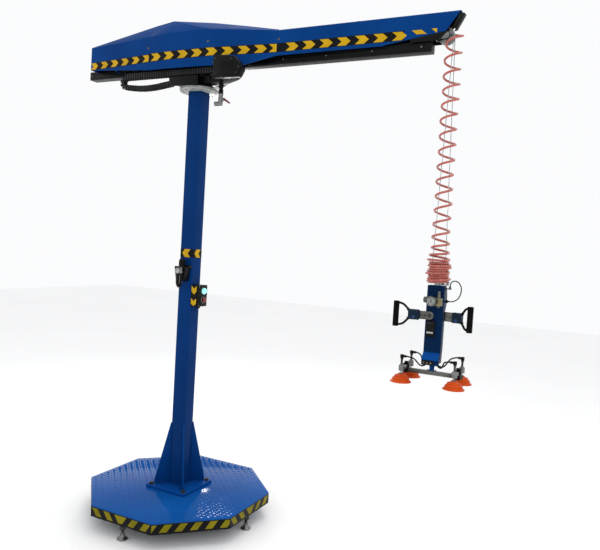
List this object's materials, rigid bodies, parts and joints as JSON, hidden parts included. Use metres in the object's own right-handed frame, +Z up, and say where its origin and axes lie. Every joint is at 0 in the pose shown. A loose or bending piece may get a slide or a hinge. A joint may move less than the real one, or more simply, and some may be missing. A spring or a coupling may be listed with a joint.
{
  "type": "column rope balancer with vacuum gripper",
  "caption": "Free-standing column with a slewing and sliding boom, from which a vacuum gripper hangs on ropes to lift and place loads by hand",
  "frame": {"origin": "on the floor, under the middle of the part's length and width; the column's axis is at x = -0.4575", "axes": "+X along the boom towards its tip, +Z up, +Y to the left of the boom"},
  "size_m": [2.7505, 1.114, 3.156],
  "materials": {
    "blue_paint": "gloss",
    "black_metal": "satin",
    "black_plastic": "matte",
    "black_hose": "satin",
    "steel": "satin",
    "ballast_steel": "rough",
    "light_alloy": "satin",
    "teal_grip": "satin",
    "orange_rubber": "satin",
    "red_hose": "translucent gloss",
    "green_lamp": "lit",
    "red_plastic": "gloss"
  },
  "bodies": {
    "base": {"platform_deck": "blue_paint", "ballast_slab": "ballast_steel", "column_tube": "blue_paint", "base_flange": "blue_paint", "slew_ring": "light_alloy", "control_box": "black_plastic", "service_unit": "black_metal"},
    "foot_f": {"foot_front": "steel"},
    "foot_r": {"foot_right": "steel"},
    "foot_b": {"foot_back": "steel"},
    "foot_l": {"foot_left": "steel"},
    "start_push": {"start_button": "green_lamp"},
    "stop_push": {"stop_button": "red_plastic"},
    "head": {"head_housing": "black_metal", "brake_unit": "black_metal", "valve_body": "light_alloy"},
    "lever": {"valve_lever": "red_plastic"},
    "roller_a": {"roller_rear": "steel"},
    "roller_b": {"roller_front": "steel"},
    "boom": {"boom_rail": "black_metal", "rear_cover": "blue_paint", "mid_cover": "blue_paint", "front_cover": "blue_paint", "tip_cap": "black_metal", "lift_cylinder": "light_alloy", "chain_upper": "black_plastic"},
    "chain": {"chain_bend": "black_plastic"},
    "piston": {"piston_rod": "steel"},
    "fork": {"sheave_fork": "light_alloy"},
    "sheave": {"tip_sheave": "light_alloy"},
    "ropes": {"rope_near": "steel", "rope_far": "steel", "coil_hose": "red_hose"},
    "hoist": {"rope_hanger": "steel"},
    "gripper": {"gripper_body": "blue_paint", "control_block": "black_plastic", "regulator": "light_alloy", "handle_bar_left": "light_alloy", "handle_bar_right": "light_alloy", "grip_left": "teal_grip", "grip_right": "teal_grip", "loop_hose": "black_hose"},
    "pressure": {"regulator_knob": "light_alloy"},
    "suction": {"suction_stem": "blue_paint", "beam": "light_alloy"},
    "arm_l": {"cross_bar_left": "light_alloy", "plunger_fl": "black_plastic", "plunger_bl": "black_plastic", "vacuum_hose_fl": "black_hose", "vacuum_hose_bl": "black_hose"},
    "arm_r": {"cross_bar_right": "light_alloy", "plunger_fr": "black_plastic", "plunger_br": "black_plastic", "vacuum_hose_fr": "black_hose", "vacuum_hose_br": "black_hose"},
    "cup_a": {"cup_fl": "orange_rubber"},
    "cup_b": {"cup_bl": "orange_rubber"},
    "cup_c": {"cup_fr": "orange_rubber"},
    "cup_d": {"cup_br": "orange_rubber"}
  },
  "joints": [
    {"name": "foot_screw_front", "type": "slide", "parent": "base", "child": "foot_f", "axis": [0, 0, -1], "range_m": [0, 0.02]},
    {"name": "foot_screw_right", "type": "slide", "parent": "base", "child": "foot_r", "axis": [0, 0, -1], "range_m": [0, 0.02]},
    {"name": "foot_screw_back", "type": "slide", "parent": "base", "child": "foot_b", "axis": [0, 0, -1], "range_m": [0, 0.02]},
    {"name": "foot_screw_left", "type": "slide", "parent": "base", "child": "foot_l", "axis": [0, 0, -1], "range_m": [0, 0.02]},
    {"name": "start_press", "type": "slide", "parent": "base", "child": "start_push", "axis": [-1, 0, 0], "range_m": [0, 0.004], "stiffness_N_per_m": 300, "springref_m": -0.003},
    {"name": "stop_press", "type": "slide", "parent": "base", "child": "stop_push", "axis": [-1, 0, 0], "range_m": [0, 0.005], "stiffness_N_per_m": 300, "springref_m": -0.003},
    {"name": "column_slew", "type": "hinge", "parent": "base", "child": "head", "pos_m": [-0.4575, 0, 2.75], "axis": [0, 0, 1], "range_deg": [-175, 175]},
    {"name": "valve_turn", "type": "hinge", "parent": "head", "child": "lever", "pos_m": [-0.2275, -0.055, 2.655], "axis": [1, 0, 0], "range_deg": [0, 90]},
    {"name": "boom_slide", "type": "slide", "parent": "head", "child": "boom", "axis": [1, 0, 0], "range_m": [-0.3, 0.15], "deforming": ["chain_upper"]},
    {"name": "roller_rear_spin", "type": "hinge", "parent": "head", "child": "roller_a", "pos_m": [-0.5775, 0, 2.8295], "axis": [0, 1, 0], "continuous": true},
    {"name": "roller_front_spin", "type": "hinge", "parent": "head", "child": "roller_b", "pos_m": [-0.3375, 0, 2.8295], "axis": [0, 1, 0], "continuous": true},
    {"name": "chain_follow", "type": "slide", "parent": "boom", "child": "chain", "axis": [1, 0, 0], "range_m": [-0.075, 0.15]},
    {"name": "piston_stroke", "type": "slide", "parent": "boom", "child": "piston", "axis": [1, 0, 0], "range_m": [-0.375, 0.475]},
    {"name": "tip_swing_side", "type": "hinge", "parent": "boom", "child": "fork", "pos_m": [1.0725, 0, 2.93], "axis": [1, 0, 0], "range_deg": [-12, 12]},
    {"name": "sheave_spin", "type": "hinge", "parent": "fork", "child": "sheave", "pos_m": [1.1275, 0, 2.93], "axis": [0, 1, 0], "continuous": true},
    {"name": "rope_swing_fore", "type": "hinge", "parent": "fork", "child": "ropes", "pos_m": [1.1685, 0, 2.93], "axis": [0, 1, 0], "range_deg": [-12, 12]},
    {"name": "hoist", "type": "slide", "parent": "ropes", "child": "hoist", "axis": [0, 0, 1], "range_m": [-0.95, 0.75], "deforming": ["coil_hose", "rope_near", "rope_far"]},
    {"name": "gripper_swivel", "type": "hinge", "parent": "hoist", "child": "gripper", "pos_m": [1.1685, 0, 1.62], "axis": [0, 0, 1], "continuous": true},
    {"name": "pressure_knob", "type": "hinge", "parent": "gripper", "child": "pressure", "pos_m": [1.1495, -0.0493, 1.534], "axis": [1, 0, 0], "range_deg": [-360, 360]},
    {"name": "suction_turn", "type": "hinge", "parent": "gripper", "child": "suction", "pos_m": [1.1685, 0, 1.19], "axis": [0, 0, 1], "range_deg": [-90, 90]},
    {"name": "arm_left_slide", "type": "slide", "parent": "suction", "child": "arm_l", "axis": [1, 0, 0], "range_m": [-0.008, 0.03], "deforming": ["vacuum_hose_fl", "vacuum_hose_bl"]},
    {"name": "arm_right_slide", "type": "slide", "parent": "suction", "child": "arm_r", "axis": [-1, 0, 0], "range_m": [-0.008, 0.03], "deforming": ["vacuum_hose_fr", "vacuum_hose_br"]},
    {"name": "cup_fl_press", "type": "slide", "parent": "arm_l", "child": "cup_a", "axis": [0, 0, 1], "range_m": [0, 0.011], "stiffness_N_per_m": 500, "springref_m": -0.006},
    {"name": "cup_bl_press", "type": "slide", "parent": "arm_l", "child": "cup_b", "axis": [0, 0, 1], "range_m": [0, 0.011], "stiffness_N_per_m": 500, "springref_m": -0.006},
    {"name": "cup_fr_press", "type": "slide", "parent": "arm_r", "child": "cup_c", "axis": [0, 0, 1], "range_m": [0, 0.011], "stiffness_N_per_m": 500, "springref_m": -0.006},
    {"name": "cup_br_press", "type": "slide", "parent": "arm_r", "child": "cup_d", "axis": [0, 0, 1], "range_m": [0, 0.011], "stiffness_N_per_m": 500, "springref_m": -0.006}
  ],
  "couplings": [
    {"joint": "roller_rear_spin", "follows": "boom_slide", "rad_per_m": 50},
    {"joint": "roller_front_spin", "follows": "boom_slide", "rad_per_m": 50},
    {"joint": "chain_follow", "follows": "boom_slide", "ratio": -0.5},
    {"joint": "piston_stroke", "follows": "hoist", "ratio": -0.5},
    {"joint": "sheave_spin", "follows": "hoist", "rad_per_m": -24.39}
  ]
}
